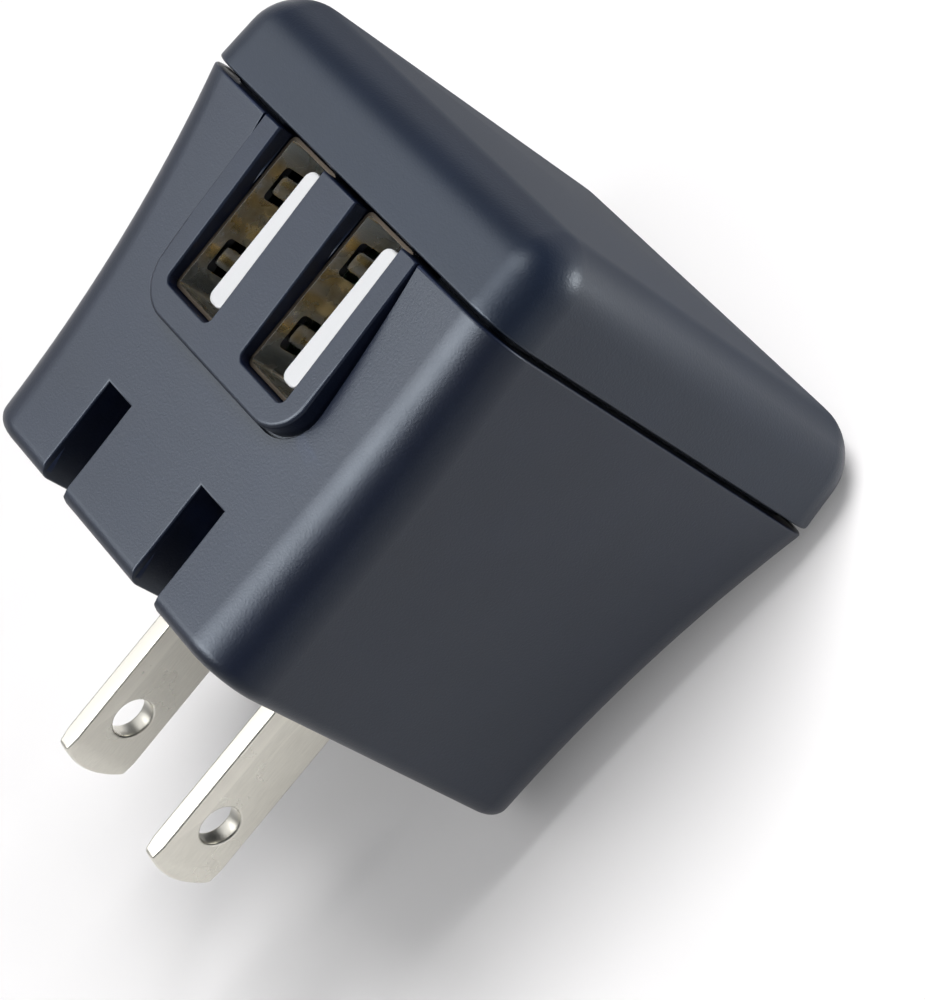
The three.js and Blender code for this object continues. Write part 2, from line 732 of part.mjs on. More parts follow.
place('main_board', mainBoard(), 'board');
place('usb_board', usbBoard(), 'board');
place('transformer_core_left', coreHalf(1), 'ferrite');
place('transformer_core_right', coreHalf(-1), 'ferrite');
place('transformer_bobbin', bobbin(), 'black');
place('transformer_winding', winding(), 'tape');
place('input_capacitor_left', capacitorCan(10.2, -15.7, 4.0, 12), 'sleeve');
place('input_capacitor_right', capacitorCan(-10.2, -15.7, 4.0, 12), 'sleeve');
place('output_capacitor_left', capacitorCan(11.8, -29.6, 3.15, 9), 'sleeve');
place('output_capacitor_right', capacitorCan(-11.8, -29.6, 3.15, 9), 'sleeve');
place('fusible_resistor', fusibleResistor(), 'resistor');
place('filter_choke', filterChoke(), 'ferrite');
place('safety_capacitor', safetyCapacitor(), 'ceramic');
place('bridge_rectifier', chip([-2.5, -17.0], [4.8, 3.8, 2.4], onBoard), 'black');
place('optocoupler', chip([11.4, -23.2], [4.6, 6.2, 3.2], onBoard), 'black');
place('primary_controller', chip([0, -21.5], [4.9, 3.9, 1.5], underMainBoard - 1.5), 'black');
place('output_diode', chip([9.9, -17.0], [3.6, 4.4, 2.2], underUsbBoard - 2.2), 'black');
place('port_controller', chip([-9.9, -17.0], [3.9, 4.9, 1.5], underUsbBoard - 1.5), 'black');
place('insulation_sheet', box([-7.6, 7.6], [-33.2, -17.5], [2.3, 2.6]), 'film');

for (const [side, x] of [['positive', 5.5], ['negative', -5.5]]) {
  const pin = box([x - 0.32, x + 0.32], [-15.5, -14.9], [onBoard, underUsbBoard]);
  place(`link_pin_${side}`, pin, 'gold');
}

for (const [side, x, look] of [['live', 1, 'redWire'], ['neutral', -1, 'blackWire']]) {
  const route = [
    [x * 6.35, -12.6, -6.45],
    [x * 6.0, -13.2, -7.6],
    [x * 5.5, -11.9, -9.6],
    [x * 5.3, -11.6, -11.2],
    [x * 5.3, -11.9, onBoard],
  ];
  place(`${side}_wire`, wire(route, 0.45), look);
}

plug.position.set(0, -(BLADE.length + CAP_TOP) / 2, SEAM.halfZ);

const charger = new THREE.Group();
charger.add(plug);

export default charger;
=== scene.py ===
import math

import bmesh
import bpy
from mathutils import Matrix, Vector


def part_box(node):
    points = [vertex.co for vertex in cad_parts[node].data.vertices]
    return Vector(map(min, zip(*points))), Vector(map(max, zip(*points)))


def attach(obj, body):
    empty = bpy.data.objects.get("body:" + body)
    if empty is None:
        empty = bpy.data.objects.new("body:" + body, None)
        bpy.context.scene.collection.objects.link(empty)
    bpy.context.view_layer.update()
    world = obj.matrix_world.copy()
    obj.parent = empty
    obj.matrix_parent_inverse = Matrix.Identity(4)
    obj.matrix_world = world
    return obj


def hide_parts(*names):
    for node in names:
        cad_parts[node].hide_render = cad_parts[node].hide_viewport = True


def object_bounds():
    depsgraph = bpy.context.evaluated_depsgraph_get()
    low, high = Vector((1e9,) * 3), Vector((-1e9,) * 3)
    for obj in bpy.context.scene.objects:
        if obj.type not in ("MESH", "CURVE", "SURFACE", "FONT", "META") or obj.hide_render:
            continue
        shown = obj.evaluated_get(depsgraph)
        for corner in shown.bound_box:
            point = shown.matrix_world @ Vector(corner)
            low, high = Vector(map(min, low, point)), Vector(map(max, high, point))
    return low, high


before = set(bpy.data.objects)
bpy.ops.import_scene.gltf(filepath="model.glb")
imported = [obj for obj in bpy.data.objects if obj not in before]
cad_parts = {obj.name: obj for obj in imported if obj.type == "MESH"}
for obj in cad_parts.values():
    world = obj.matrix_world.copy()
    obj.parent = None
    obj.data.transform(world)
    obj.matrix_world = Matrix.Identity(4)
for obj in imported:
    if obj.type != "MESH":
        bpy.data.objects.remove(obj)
cad_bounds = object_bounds()

# The plug frame: millimetres, x across the charger, y along the plug axis with the outlet face
# at y = 0 and the blades towards +y, z up towards the USB ports.
MM = 0.001
_, housing_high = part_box("main_housing")
cap_low, cap_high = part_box("end_cap")
PLUG_ORIGIN = Vector((0, housing_high.y, (cap_low.z + cap_high.z) / 2))

# ---------------------------------------------------------------- sizes, mm

OUTLET = {"half_x": 17.0, "half_z": 16.98, "corner": 4.5}
SEAM = {"half_x": 18.92, "half_z": 19.64, "corner": 3.8}
BODY_LENGTH = 28.8
FLARE_POWER_X = 1.6
FLARE_POWER_Z = 2.3
OUTLET_FILLET = 1.2
RIM_EASE = 0.22
SEAM_GAP = 0.44
CAP_HEIGHT = 7.3
CAP_DRAFT = 0.045
CAP_EDGE_RADIUS = 4.0
CAP_CROWN = 0.5
CAP_TEXTURE = (1.8, 0.7)
SKIN = 0.5
SKIN_OVERLAP = 0.01
HAIR = 0.004
CORNER_STEPS = 16
EDGE_ROUNDING = 0.36
EDGE_SHARE = {"panel_foot": 1.0, "panel": 0.42, "slot": 0.5, "groove": 0.15}
SKY = 30

BLADE = {"pitch": 12.7, "width": 6.35, "thick": 1.52, "length": 17.1, "shoulder": 16.25}
BLADE_HOLE = {"radius": 1.6, "from_face": 12.0}
BLADE_TIP = {"taper": 2.0, "thin": 0.42}
BLADE_EDGE = 0.2
PIVOT = {"y": -3.5, "z": -3.45}
SHAFT_HOLE = 1.55
SLOT = {"width": 3.0, "height": 8.05, "back": -7.2}

PANEL = {"half_x": 9.65, "start": -13.92, "seam_z": 19.68, "foot_z": 19.0, "corner": 3.3,
         "root_z": 16.1, "top_z": 24.0, "past_joint": 8}
GROOVE = {"width": 0.2, "depth": 0.3, "floor_z": 12}
PORT = {"pitch": 9.8, "half_x": 2.83, "start": -16.0, "corner": 0.6, "floor_z": 8, "past_joint": 5}
SHELL = {"half_x": 2.86, "y0": -28.95, "y1": -16.1, "front": 18.2, "depth": 13.3,
         "sheet": 0.3, "corner": 0.55}
WINDOW = {"spacing": 6.1, "width": 2.65, "front": 17.1, "back": 11.5, "corner": 0.35}
TAB = {"width": 1.5, "front": 16.75, "dip": 0.3, "sheet": 0.26, "lift": 0.3, "lip": 1.4,
       "corner": 0.4}
TONGUE = {"x0": -1.88, "x1": -0.04, "half_y": 5.55, "front": 17.95, "corner": 0.7, "base": 3.2}
CONTACT_WAYS = {"places": [-3.5, -1.0, 1.0, 3.5], "width": 1.24, "depth": 0.77}
MIDDLE_Y = (SHELL["y0"] + SHELL["y1"]) / 2
WINDOW_PLACES = (MIDDLE_Y - WINDOW["spacing"] / 2, MIDDLE_Y + WINDOW["spacing"] / 2)
PORT_PLACES = (PORT["pitch"] / 2, -PORT["pitch"] / 2)
BLADE_PLACES = (BLADE["pitch"] / 2, -BLADE["pitch"] / 2)

# ---------------------------------------------------------------- mesh tools


def to_frame(point):
    return Vector(point) * MM + PLUG_ORIGIN


def new_object(name, points, faces):
    mesh = bpy.data.meshes.new(name)
    mesh.from_pydata([to_frame(p) for p in points], [], faces)
    mesh.update()
    made = bpy.data.objects.new(name, mesh)
    bpy.context.scene.collection.objects.link(made)
    face_outwards(made)
    return made


def face_outwards(piece):
    shape = bmesh.new()
    shape.from_mesh(piece.data)
    bmesh.ops.recalc_face_normals(shape, faces=shape.faces)
    shape.to_mesh(piece.data)
    shape.free()


def copy_node(node, name):
    made = bpy.data.objects.new(name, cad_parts[node].data.copy())
    made.data.materials.clear()
    bpy.context.scene.collection.objects.link(made)
    shape = bmesh.new()
    shape.from_mesh(made.data)
    bmesh.ops.remove_doubles(shape, verts=shape.verts, dist=0.0005 * MM)
    shape.to_mesh(made.data)
    shape.free()
    return made


def discard(piece):
    mesh = piece.data
    bpy.data.objects.remove(piece)
    bpy.data.meshes.remove(mesh)


def apply_modifiers(piece):
    depsgraph = bpy.context.evaluated_depsgraph_get()
    result = bpy.data.meshes.new_from_object(piece.evaluated_get(depsgraph))
    old = piece.data
    piece.modifiers.clear()
    piece.data = result
    bpy.data.meshes.remove(old)


def combine(piece, operation, *others):
    """Cuts, joins or intersects a piece with others, which are used up."""
    for other in others:
        modifier = piece.modifiers.new("combine", "BOOLEAN")
        modifier.operation = operation
        modifier.solver = "EXACT"
        modifier.object = other
        apply_modifiers(piece)
        discard(other)
    return piece


def ring(half_x, half_z, corner, y):
    """A rounded rectangle round the plug axis at height y."""
    points = []
    signs = [(1, 1), (1, -1), (-1, -1), (-1, 1)]
    for quarter, (sign_x, sign_z) in enumerate(signs):
        for step in range(CORNER_STEPS + 1):
            angle = (quarter + step / CORNER_STEPS) * math.pi / 2
            x = sign_x * (half_x - corner) + corner * math.sin(angle)
            z = sign_z * (half_z - corner) + corner * math.cos(angle)
            points.append((x, y, z))
    return points


def loft(name, loops):
    """Skins a stack of loops and closes both ends."""
    count = len(loops[0])
    points = [p for loop in loops for p in loop]
    faces = []
    for level in range(len(loops) - 1):
        for i in range(count):
            a = level * count + i
            b = level * count + (i + 1) % count
            faces.append((a, b, b + count, a + count))
    last = (len(loops) - 1) * count
    faces.append(tuple(range(count - 1, -1, -1)))
    faces.append(tuple(range(last, last + count)))
    return new_object(name, points, faces)


def prism(name, outline, span, axis):
    """A flat outline pulled along an axis. The outline's own axes are the other two, in order."""
    def place(u, v, w):
        return {"x": (w, u, v), "y": (u, w, v), "z": (u, v, w)}[axis]
    count = len(outline)
    points = [place(u, v, span[0]) for u, v in outline] + [place(u, v, span[1]) for u, v in outline]
    faces = [tuple(range(count - 1, -1, -1)), tuple(range(count, 2 * count))]
    for i in range(count):
        j = (i + 1) % count
        faces.append((i, j, j + count, i + count))
    return new_object(name, points, faces)


def arc(u, v, radius, start, end, steps):
    turns = [start + (end - start) * i / steps for i in range(steps + 1)]
    return [(u + radius * math.cos(t), v + radius * math.sin(t)) for t in turns]


def rounded(u_span, v_span, radius, steps):
    (u0, u1), (v0, v1) = u_span, v_span
    quarter = math.pi / 2
    corners = [(u1 - radius, v0 + radius, -quarter), (u1 - radius, v1 - radius, 0),
               (u0 + radius, v1 - radius, quarter), (u0 + radius, v0 + radius, 2 * quarter)]
    outline = []
    for u, v, start in corners:
        outline += arc(u, v, radius, start, start + quarter, steps)
    return outline


def box(name, x_span, y_span, z_span):
    (x0, x1), (y0, y1) = x_span, y_span
    return prism(name, [(x0, y0), (x1, y0), (x1, y1), (x0, y1)], z_span, "z")


def disc(name, centre, radius, span, axis, steps):
    return prism(name, arc(*centre, radius, 0, 2 * math.pi, steps)[:-1], span, axis)


def soften(piece, width, segments, angle, where=None, weld=0.0):
    """Rounds edges sharper than an angle. where(middle in mm) gives an edge's share of the width."""
    shape = bmesh.new()
    shape.from_mesh(piece.data)
    if weld:
        outer = [v for v in shape.verts if where is None or where((v.co - PLUG_ORIGIN) / MM)]
        bmesh.ops.remove_doubles(shape, verts=outer, dist=weld * MM)
    layer = shape.edges.layers.float.new("bevel_weight_edge")
    for edge in shape.edges:
        if len(edge.link_faces) != 2 or edge.calc_face_angle(0) < math.radians(angle):
            continue
        middle = ((edge.verts[0].co + edge.verts[1].co) / 2 - PLUG_ORIGIN) / MM
        edge[layer] = 1.0 if where is None else where(middle)
    shape.to_mesh(piece.data)
    shape.free()
    modifier = piece.modifiers.new("soften", "BEVEL")
    modifier.limit_method = "WEIGHT"
    modifier.width = width * MM
    modifier.segments = segments
    modifier.use_clamp_overlap = False
    modifier.miter_outer = "MITER_ARC"
    apply_modifiers(piece)
    return piece


def shade(piece):
    piece.data.shade_smooth()
    piece.data.set_sharp_from_angle(angle=math.radians(38))
    modifier = piece.modifiers.new("normals", "WEIGHTED_NORMAL")
    modifier.keep_sharp = True
    modifier.weight = 60
    return piece


def finish(piece, material, body, slot, *nodes):
    piece.data.materials.clear()
    piece.data.materials.append(material)
    shade(piece)
    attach(piece, body)
    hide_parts(*nodes)
    return piece


# ---------------------------------------------------------------- materials


class Recipe:
    """A node material built up from patterns laid over one surface shader."""

    def __init__(self, name):
        self.material = bpy.data.materials.new(name)
        self.material.use_nodes = True
        self.nodes = self.material.node_tree.nodes
        self.links = self.material.node_tree.links
        self.shader = self.nodes["Principled BSDF"]
        self.coords = self.nodes.new("ShaderNodeTexCoord").outputs["Object"]

    def stretched(self, scale):
        mapping = self.nodes.new("ShaderNodeMapping")
        mapping.inputs["Scale"].default_value = scale
        self.links.new(self.coords, mapping.inputs["Vector"])
        return mapping.outputs["Vector"]

    def noise(self, size, detail=3.0, stretch=None):
        """Noise whose features are about size millimetres across."""
        node = self.nodes.new("ShaderNodeTexNoise")
        node.inputs["Scale"].default_value = 1 / (size * MM)
        node.inputs["Detail"].default_value = detail
        vector = self.stretched(stretch) if stretch else self.coords
        self.links.new(vector, node.inputs["Vector"])
        return node.outputs["Fac"]

    def edges(self):
        """Near 1 on outer edges and 0 on flat ground."""
        geometry = self.nodes.new("ShaderNodeNewGeometry")
        return self.spread(geometry.outputs["Pointiness"], 0.53, 0.62)

    def spread(self, value, low, high, out_low=0.0, out_high=1.0):
        node = self.nodes.new("ShaderNodeMapRange")
        node.inputs["From Min"].default_value = low
        node.inputs["From Max"].default_value = high
        node.inputs["To Min"].default_value = out_low
        node.inputs["To Max"].default_value = out_high
        self.links.new(value, node.inputs["Value"])
        return node.outputs["Result"]

    def times(self, a, b):
        node = self.nodes.new("ShaderNodeMath")
        node.operation = "MULTIPLY"
        self.links.new(a, node.inputs[0])
        self.links.new(b, node.inputs[1])
        return node.outputs["Value"]

    def ramp(self, value, *stops):
        """Fades from one colour to another between two (position, colour) stops."""
        node = self.nodes.new("ShaderNodeValToRGB")
        for element, (position, colour) in zip(node.color_ramp.elements, stops):
            element.position = position
            element.color = (*colour, 1)
        self.links.new(value, node.inputs["Fac"])
        return node.outputs["Color"]

    def mix(self, share, under, colour):
        """Lays a plain colour over a pattern by a share from 0 to 1."""
        node = self.nodes.new("ShaderNodeMix")
        node.data_type = "RGBA"
        self.links.new(share, node.inputs["Factor"])
        self.links.new(under, node.inputs[6])
        node.inputs[7].default_value = (*colour, 1)
        return node.outputs[2]

    def colour(self, value):
        self.links.new(value, self.shader.inputs["Base Color"])

    def roughness(self, value, low, high):
        self.links.new(self.spread(value, 0.3, 0.7, low, high), self.shader.inputs["Roughness"])

    def bump(self, value, height):
        """Raises the surface by a height in millimetres."""
        node = self.nodes.new("ShaderNodeBump")
        node.inputs["Distance"].default_value = height * MM
        node.inputs["Strength"].default_value = 1.0
        self.links.new(value, node.inputs["Height"])
        if self.shader.inputs["Normal"].is_linked:
            self.links.new(self.shader.inputs["Normal"].links[0].from_socket, node.inputs["Normal"])
        self.links.new(node.outputs["Normal"], self.shader.inputs["Normal"])

    def metal(self):
        self.shader.inputs["Metallic"].default_value = 1.0


def scaled(colour, share):
    return tuple(min(c * share, 1.0) for c in colour)


def moulded_plastic(name, colour, rough, grain=0.14, grain_height=0.004, highlight_and_speck=1.5, mottled=0.08):
    """Spark-textured moulded plastic: fine grain, slow mottling, and edges painted lighter as a
    highlight.
    """
    recipe = Recipe(name)
    mottle = recipe.noise(6.0, 4.0)
    fine = recipe.noise(grain, 2.0)
    darker, lighter = scaled(colour, 1 - mottled), scaled(colour, 1 + mottled)
    ground = recipe.ramp(mottle, (0.3, darker), (0.7, lighter))
    grains = recipe.spread(fine, 0.56, 0.74, 0.0, 0.5)
    speck = recipe.mix(grains, ground, scaled(colour, (1 + highlight_and_speck) / 2))
    # Edges painted lighter in patches: a painted highlight, not wear.
    painted_edge_highlight = recipe.times(recipe.edges(), recipe.spread(recipe.noise(1.3, 4.0), 0.35, 0.65))
    recipe.colour(recipe.mix(painted_edge_highlight, speck, scaled(colour, highlight_and_speck)))
    recipe.roughness(recipe.noise(3.5, 2.0), rough - 0.015, rough + 0.02)
    recipe.bump(fine, grain_height)
    return recipe


def case_plastic(name, colour, rough):
    """The outer case: a blue-black plastic with a visible grain and a painted highlight on its edges.
    """
    recipe = moulded_plastic(name, colour, rough, 0.16, 0.012, 2.0)
    recipe.shader.inputs["Specular Tint"].default_value = (0.83, 0.92, 1.0, 1.0)
    recipe.shader.inputs["Specular IOR Level"].default_value = 0.44
    return recipe


def textured_cap(name, colour, rough, end_rough):
    """The case plastic, with a coarser texture that sets in between two heights of the cap."""
    recipe = case_plastic(name, colour, rough)
    split = recipe.nodes.new("ShaderNodeSeparateXYZ")
    recipe.links.new(recipe.coords, split.inputs["Vector"])
    smooth_y, coarse_y = (cap_low.y + height * MM for height in CAP_TEXTURE)
    roughness = recipe.shader.inputs["Roughness"]
    recipe.nodes.remove(roughness.links[0].from_node)
    rougher = recipe.spread(split.outputs["Y"], smooth_y, coarse_y, rough, end_rough)
    recipe.links.new(rougher, roughness)
    recipe.bump(recipe.noise(0.28, 3.0), 0.006)
    return recipe


def plated_metal(name, colour, rough, stain, brushed=(1.0, 0.06, 1.0), stain_size=3.0, stained=0.35,
                 line_height=0.0012):
    """Plated strip: drawn lines along one way, stains and bright rubbed edges."""
    recipe = Recipe(name)
    recipe.metal()
    lines = recipe.noise(0.09, 3.0, brushed)
    clouds = recipe.noise(stain_size, 5.0)
    ground = recipe.ramp(lines, (0.3, scaled(colour, 0.93)), (0.7, scaled(colour, 1.04)))
    stains = recipe.spread(clouds, 0.5, 0.72, 0.0, stained)
    tinted = recipe.mix(stains, ground, stain)
    recipe.colour(recipe.mix(recipe.edges(), tinted, scaled(colour, 1.12)))
    recipe.roughness(clouds, rough - 0.05, rough + 0.09)
    recipe.bump(lines, line_height)
    return recipe


def dull_and_shaded_port_side(recipe, colour, rough):
    """Gives the sheared edges that face the ports' side a dull metal whose darker colour is painted
    shade.
    """
    geometry = recipe.nodes.new("ShaderNodeNewGeometry")
    split = recipe.nodes.new("ShaderNodeSeparateXYZ")
    recipe.links.new(geometry.outputs["True Normal"], split.inputs["Vector"])
    # Faces turned towards the ports: rougher, and painted darker as shade.
    port_side_dull_and_shade = recipe.spread(split.outputs["Z"], 0.5, 0.9)
    for socket, edge in (("Base Color", colour), ("Roughness", (rough, rough, rough))):
        flat = recipe.shader.inputs[socket].links[0].from_socket
        recipe.links.new(recipe.mix(port_side_dull_and_shade, flat, edge), recipe.shader.inputs[socket])
    return recipe


def circuit_laminate(name, mask, copper):
    """Solder mask over copper tracks, with the tracks standing slightly proud."""
    recipe = Recipe(name)
    brick = recipe.nodes.new("ShaderNodeTexBrick")
    brick.inputs["Scale"].default_value = 240.0
    brick.inputs["Mortar Size"].default_value = 0.05
    brick.offset = 0.35
    recipe.links.new(recipe.coords, brick.inputs["Vector"])
    tracks = brick.outputs["Fac"]
    weave = recipe.noise(0.25, 2.0)
    ground = recipe.ramp(weave, (0.3, scaled(mask, 0.85)), (0.7, scaled(mask, 1.15)))
    recipe.colour(recipe.mix(tracks, ground, copper))
    recipe.roughness(recipe.noise(1.5), 0.32, 0.5)
    recipe.bump(tracks, 0.02)
    recipe.bump(weave, 0.003)
    return recipe


def wrapped_sleeve(name, colour, rough):
    """Shrunk or wound film: fine bands round the piece and a glossy uneven surface."""
    recipe = Recipe(name)
    bands = recipe.noise(0.5, 2.0, (0.15, 0.15, 1.0))
    recipe.colour(recipe.ramp(bands, (0.3, scaled(colour, 0.85)), (0.7, scaled(colour, 1.15))))
    recipe.roughness(recipe.noise(2.0), rough - 0.06, rough + 0.08)
    recipe.bump(bands, 0.02)
    return recipe


housing_plastic = case_plastic("housing_plastic", (0.003, 0.005, 0.014), 0.38).material
cap_plastic = textured_cap("cap_plastic", (0.004, 0.007, 0.016), 0.38, 0.75).material
black_moulding = moulded_plastic("black_moulding", (0.012, 0.012, 0.014), 0.45).material
chip_package = moulded_plastic("chip_package", (0.014, 0.014, 0.015), 0.6, 0.08, 0.003).material
port_insulator = moulded_plastic(
    "port_insulator", (0.43, 0.435, 0.445), 0.42, 0.3, 0.002, 1.05, 0.02).material
ferrite = moulded_plastic("ferrite", (0.045, 0.046, 0.052), 0.7, 0.2, 0.012, 1.8).material
blue_ceramic = moulded_plastic("blue_ceramic", (0.05, 0.16, 0.42), 0.35, 0.6, 0.01).material
resistor_coating = moulded_plastic("resistor_coating", (0.2, 0.36, 0.2), 0.6, 0.2, 0.01).material
insulating_film = moulded_plastic("insulating_film", (0.66, 0.62, 0.5), 0.35, 0.4, 0.002).material
red_wire = moulded_plastic("red_wire", (0.42, 0.035, 0.025), 0.42, 0.2, 0.002).material
black_wire = moulded_plastic("black_wire", (0.02, 0.02, 0.022), 0.42, 0.2, 0.002).material
blade_plating = plated_metal(
    "blade_nickel", (0.70, 0.68, 0.61), 0.29, (0.58, 0.56, 0.50), stained=0.25, line_height=0.0005)
# The blades' faces towards the ports are painted darker as shade.
blade_nickel = dull_and_shaded_port_side(blade_plating, (0.34, 0.33, 0.30), 0.4).material
shell_plating = plated_metal(
    "port_shell_metal", (0.68, 0.70, 0.69), 0.25, (0.34, 0.32, 0.27), (1.0, 1.0, 0.08), 1.6, 0.75)
# The shells' faces towards the ports, mostly their front rims, are painted darker as shade.
port_shell_metal = dull_and_shaded_port_side(shell_plating, (0.06, 0.05, 0.04), 0.6).material
contact_gold = plated_metal("contact_gold", (0.86, 0.62, 0.26), 0.22, (0.6, 0.4, 0.15)).material
spring_bronze = plated_metal("spring_bronze", (0.6, 0.33, 0.14), 0.3, (0.3, 0.14, 0.06)).material
spring_steel = plated_metal("spring_steel", (0.52, 0.53, 0.55), 0.3, (0.3, 0.3, 0.3)).material
board_laminate = circuit_laminate("board_laminate", (0.012, 0.11, 0.035), (0.03, 0.2, 0.06)).material
taped_winding = wrapped_sleeve("taped_winding", (0.72, 0.45, 0.05), 0.35).material
capacitor_sleeve = wrapped_sleeve("capacitor_sleeve", (0.012, 0.03, 0.075), 0.3).material

# ---------------------------------------------------------------- housing and cap


def body_section(depth):
    """The share of the way to the joint, and the body's half sizes there."""
    t = min(max(depth / BODY_LENGTH, 0.0), 1.0)
    half_x = OUTLET["half_x"] + (SEAM["half_x"] - OUTLET["half_x"]) * t ** FLARE_POWER_X
    half_z = OUTLET["half_z"] + (SEAM["half_z"] - OUTLET["half_z"]) * t ** FLARE_POWER_Z
    return t, half_x, half_z


def body_ring(depth, inset):
    """The body's section at a depth behind the outlet face, pulled in by an inset."""
    t, half_x, half_z = body_section(depth)
    corner = OUTLET["corner"] + (SEAM["corner"] - OUTLET["corner"]) * t
    return ring(half_x - inset, half_z - inset, max(corner - inset, 0.5), -depth)


def quarter_turns(steps):
    return [i / steps * math.pi / 2 for i in range(steps + 1)]


def body_outside():
    loops = []
    for a in quarter_turns(8):
        loops.append(body_ring(OUTLET_FILLET * (1 - math.cos(a)), OUTLET_FILLET * (1 - math.sin(a))))
    flare_end = BODY_LENGTH - RIM_EASE
    rings = 20
    for i in range(1, rings):
        loops.append(body_ring(OUTLET_FILLET + (flare_end - OUTLET_FILLET) * i / rings, 0))
    for a in quarter_turns(4):
        loops.append(body_ring(flare_end + (RIM_EASE + HAIR) * math.sin(a),
                               RIM_EASE * (1 - math.cos(a))))
    return loft("body_outside", loops)


def body_core(inset):
    """Everything deeper than the skin, open past the rim."""
    rings = 14
    end = BODY_LENGTH + 1.0
    loops = [body_ring(inset + (end - inset) * i / rings, inset) for i in range(rings + 1)]
    return loft("body_core", loops)


def panel_outline(grow):
    """The panel's outline seen from the ports' side, grown outwards all round."""
    half_x = PANEL["half_x"] + grow
    back = -BODY_LENGTH - PANEL["past_joint"] - grow
    return rounded((-half_x, half_x), (back, PANEL["start"] + grow), PANEL["corner"] + grow, 14)


def usb_panel():
    block = prism("usb_panel", panel_outline(0), (PANEL["root_z"], PANEL["top_z"]), "z")
    rim_y = -BODY_LENGTH - HAIR
    slope = (PANEL["foot_z"] - PANEL["seam_z"]) / (BODY_LENGTH + PANEL["start"])
    far_y = 1.0
    far_z = PANEL["seam_z"] + slope * (far_y - rim_y)
    profile = [(rim_y, 0), (far_y, 0), (far_y, far_z), (rim_y, PANEL["seam_z"])]
    return combine(block, "INTERSECT", prism("panel_face", profile, (-SKY, SKY), "x"))


def panel_groove():
    """The fine shadow line in the body all round the foot of the panel."""
    low, high = GROOVE["floor_z"], PANEL["top_z"]
    band = prism("panel_groove", panel_outline(GROOVE["width"]), (low, high), "z")
    middle = prism("middle", panel_outline(-0.05), (low - 1, high + 1), "z")
    return combine(band, "DIFFERENCE", middle, body_core(GROOVE["depth"]))


def port_mouth(x):
    half = PORT["half_x"] + HAIR
    along = (-BODY_LENGTH - PORT["past_joint"], PORT["start"] + HAIR)
    outline = rounded((x - half, x + half), along, PORT["corner"], 6)
    return prism("port_mouth", outline, (PORT["floor_z"], SKY), "z")


def blade_slot(x):
    half = SLOT["width"] / 2 + HAIR
    return box("blade_slot", (x - half, x + half), (-SLOT["height"] - HAIR, 2),
               (SLOT["back"] - HAIR, SKY))


def housing_edge(p):
    """How much of the full edge rounding a point of the housing gets."""
    _, half_x, half_z = body_section(-p.y)
    past_x = max(abs(p.x) - PANEL["half_x"] + PANEL["corner"], 0)
    past_y = max(p.y - PANEL["start"] + PANEL["corner"], 0)
    from_outline = math.hypot(past_x, past_y) - PANEL["corner"]
    if p.z > half_z + 0.03 and from_outline < 0.02:
        at_foot = past_y > 0 and from_outline > -0.1
        return EDGE_SHARE["panel_foot" if at_foot else "panel"]
    depth = min(half_x - abs(p.x), half_z - abs(p.z), -p.y)
    if depth > 0.15 or p.y < -BODY_LENGTH + 0.3:
        return 0.0
    at_groove = p.z > GROOVE["floor_z"] and abs(from_outline) < 0.3
    return EDGE_SHARE["groove" if at_groove else "slot"]


def main_housing():
    skin = combine(body_outside(), "DIFFERENCE", panel_groove())
    combine(skin, "UNION", usb_panel())
    cuts = [port_mouth(x) for x in PORT_PLACES] + [blade_slot(x) for x in BLADE_PLACES]
    combine(skin, "DIFFERENCE", body_core(SKIN + SKIN_OVERLAP), *cuts)
    inside = combine(copy_node("main_housing", "housing_shell"), "INTERSECT", body_core(SKIN))
    piece = combine(inside, "UNION", skin)
    return soften(piece, EDGE_ROUNDING, 3, 32, housing_edge, 0.04)


def cap_ring(height, inset):
    draft = CAP_DRAFT * height
    return ring(SEAM["half_x"] - draft - inset, SEAM["half_z"] - draft - inset,
                max(SEAM["corner"] - inset, 0.6), -(BODY_LENGTH + SEAM_GAP + height))


def cap_outside():
    loops = [cap_ring(-HAIR + RIM_EASE * (1 - math.cos(a)), RIM_EASE * (1 - math.sin(a)))
             for a in quarter_turns(4)]
    straight = CAP_HEIGHT - CAP_EDGE_RADIUS
    loops += [cap_ring(RIM_EASE + (straight - RIM_EASE) * i / 4, 0) for i in range(1, 4)]
    for a in quarter_turns(16):
        loops.append(cap_ring(straight + CAP_EDGE_RADIUS * math.sin(a),
                              CAP_EDGE_RADIUS * (1 - math.cos(a))))
    shoulder = loops[-1]
    rings = 12
    for i in range(1, rings):
        s = 1 - i / rings
        loops.append([(x * s, y - CAP_CROWN * (1 - s * s), z * s) for x, y, z in shoulder])
    return loft("cap_outside", loops)


def cap_core(inset):
    """Everything of the cap deeper than its skin, and the lip that enters the housing."""
    straight = CAP_HEIGHT - CAP_EDGE_RADIUS
    loops = [cap_ring(-6, inset), cap_ring(0, inset), cap_ring(straight, inset)]
    for a in quarter_turns(6)[1:]:
        loops.append(cap_ring(straight + (CAP_EDGE_RADIUS - inset) * math.sin(a),
                              inset + (CAP_EDGE_RADIUS - inset) * (1 - math.cos(a))))
    return loft("cap_core", loops)


def end_cap():
    skin = combine(cap_outside(), "DIFFERENCE", cap_core(SKIN + SKIN_OVERLAP))
    inside = combine(copy_node("end_cap", "cap_shell"), "INTERSECT", cap_core(SKIN))
    return combine(inside, "UNION", skin)


# ---------------------------------------------------------------- blades


